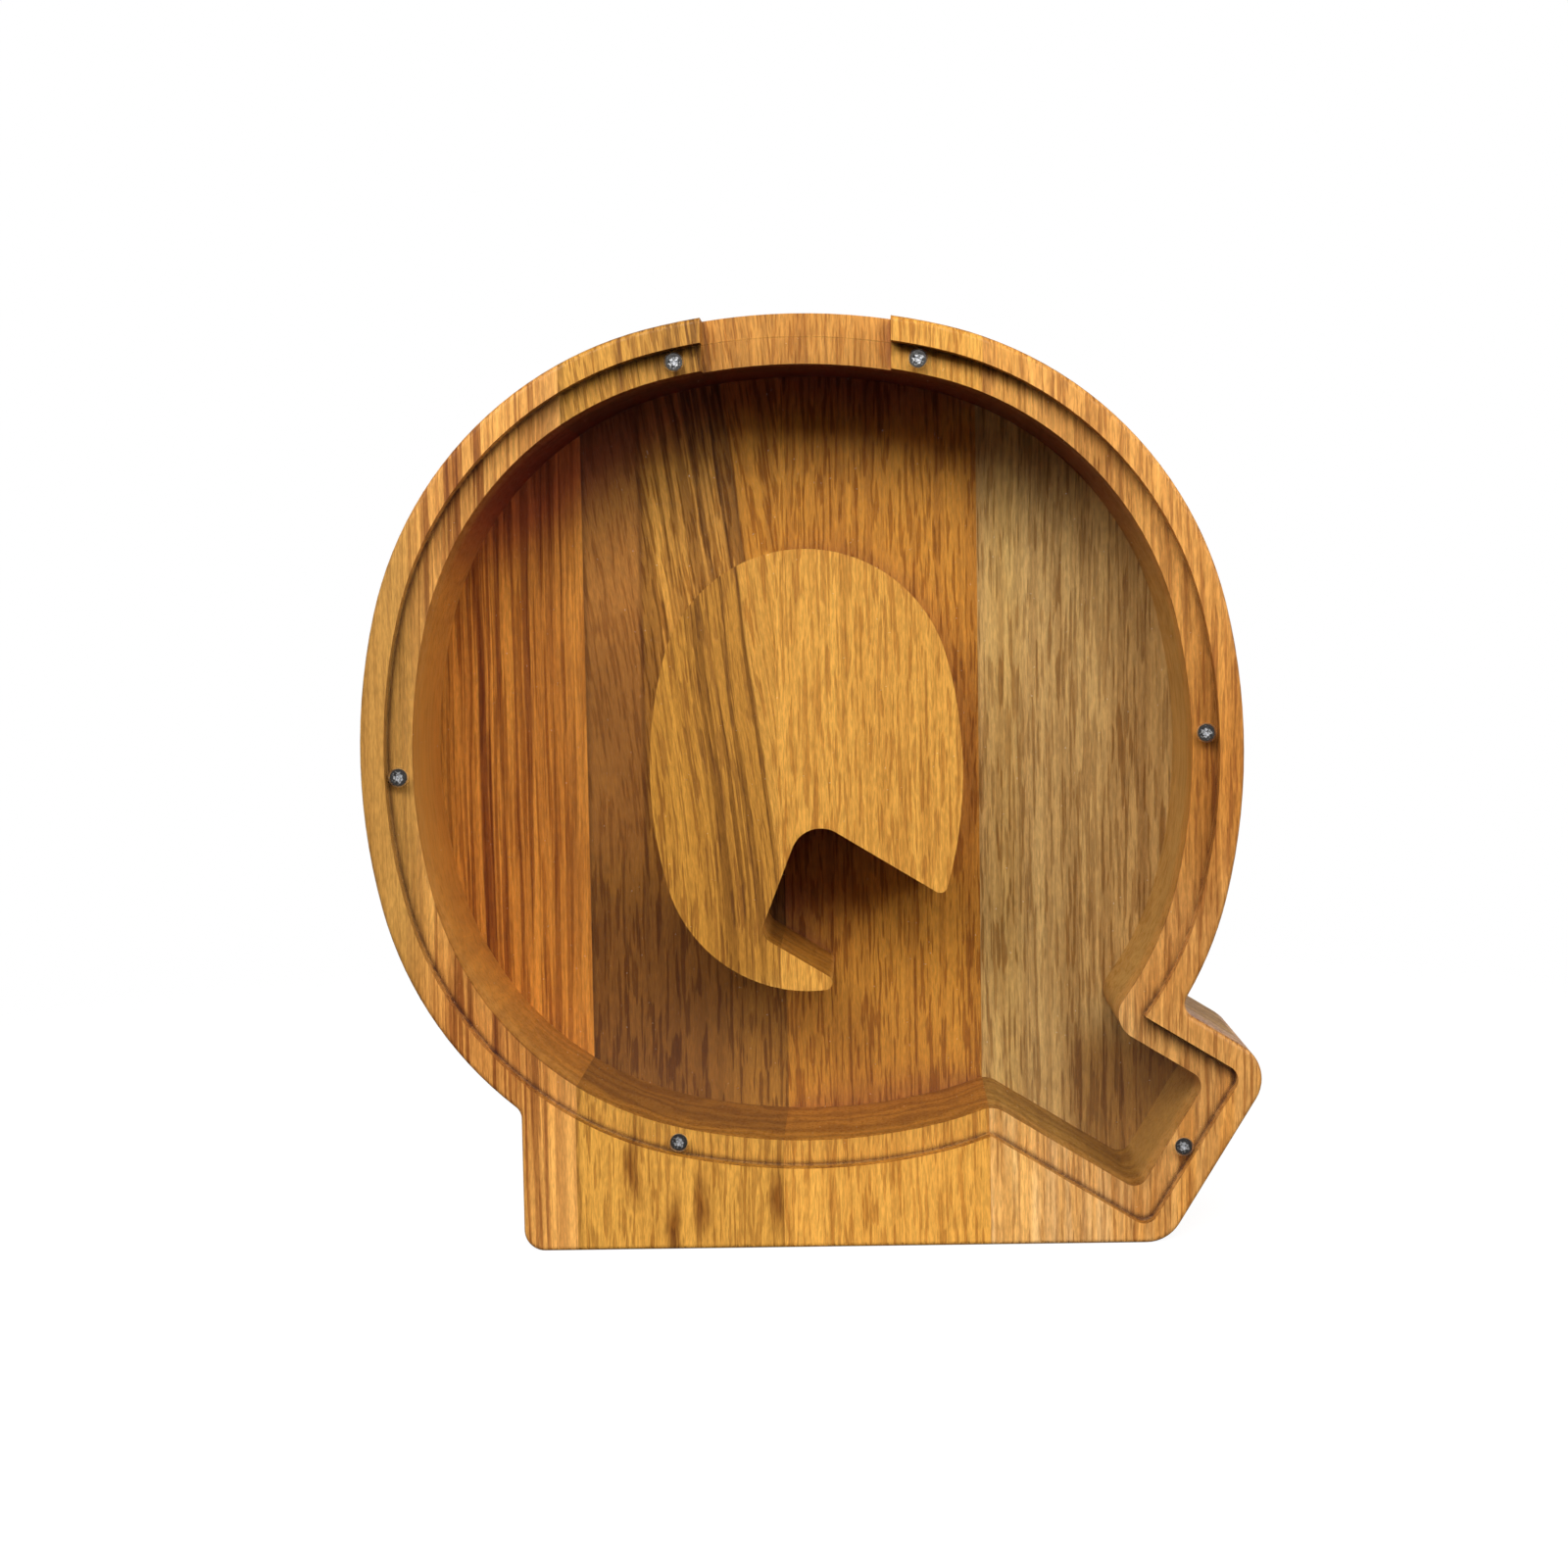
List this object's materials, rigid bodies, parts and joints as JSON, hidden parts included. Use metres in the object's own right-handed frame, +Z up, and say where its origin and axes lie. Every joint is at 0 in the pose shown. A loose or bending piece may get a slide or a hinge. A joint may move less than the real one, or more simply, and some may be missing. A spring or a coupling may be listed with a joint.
{
  "type": "money box",
  "caption": "Free-standing letter-shaped money box milled from glued wooden staves, with a coin slot in its top and a clear front held on by countersunk screws.",
  "frame": {"origin": "on the underside, in the middle of the overall width and depth", "axes": "+Z up, -Y out of the clear front, +X to the right as seen from the front, towards the tail"},
  "size_m": [0.1916, 0.045, 0.2],
  "materials": {
    "wood_left": "oiled, reddish orange",
    "wood_mid_left": "oiled, brown with dark streaks",
    "wood_mid_right": "oiled, golden orange",
    "wood_right": "oiled, pale olive tan",
    "clear_sheet": "clear polished sheet",
    "screw_steel": "plain steel"
  },
  "bodies": {
    "case": {"stave_left": "wood_left", "stave_mid_left": "wood_mid_left", "stave_mid_right": "wood_mid_right", "stave_right": "wood_right"},
    "window": {"front_window": "clear_sheet"},
    "top_left_screw": {"screw_top_left": "screw_steel"},
    "top_right_screw": {"screw_top_right": "screw_steel"},
    "right_screw": {"screw_right": "screw_steel"},
    "tail_screw": {"screw_tail": "screw_steel"},
    "bottom_screw": {"screw_bottom": "screw_steel"},
    "left_screw": {"screw_left": "screw_steel"}
  },
  "joints": [
    {"name": "window_lift", "type": "slide", "parent": "case", "child": "window", "axis": [0, -1, 0], "range_m": [0, 0.06]},
    {"name": "top_left_unscrew", "type": "slide", "parent": "window", "child": "top_left_screw", "axis": [0, -1, 0], "range_m": [0, 0.012]},
    {"name": "top_right_unscrew", "type": "slide", "parent": "window", "child": "top_right_screw", "axis": [0, -1, 0], "range_m": [0, 0.012]},
    {"name": "right_unscrew", "type": "slide", "parent": "window", "child": "right_screw", "axis": [0, -1, 0], "range_m": [0, 0.012]},
    {"name": "tail_unscrew", "type": "slide", "parent": "window", "child": "tail_screw", "axis": [0, -1, 0], "range_m": [0, 0.012]},
    {"name": "bottom_unscrew", "type": "slide", "parent": "window", "child": "bottom_screw", "axis": [0, -1, 0], "range_m": [0, 0.012]},
    {"name": "left_unscrew", "type": "slide", "parent": "window", "child": "left_screw", "axis": [0, -1, 0], "range_m": [0, 0.012]}
  ]
}
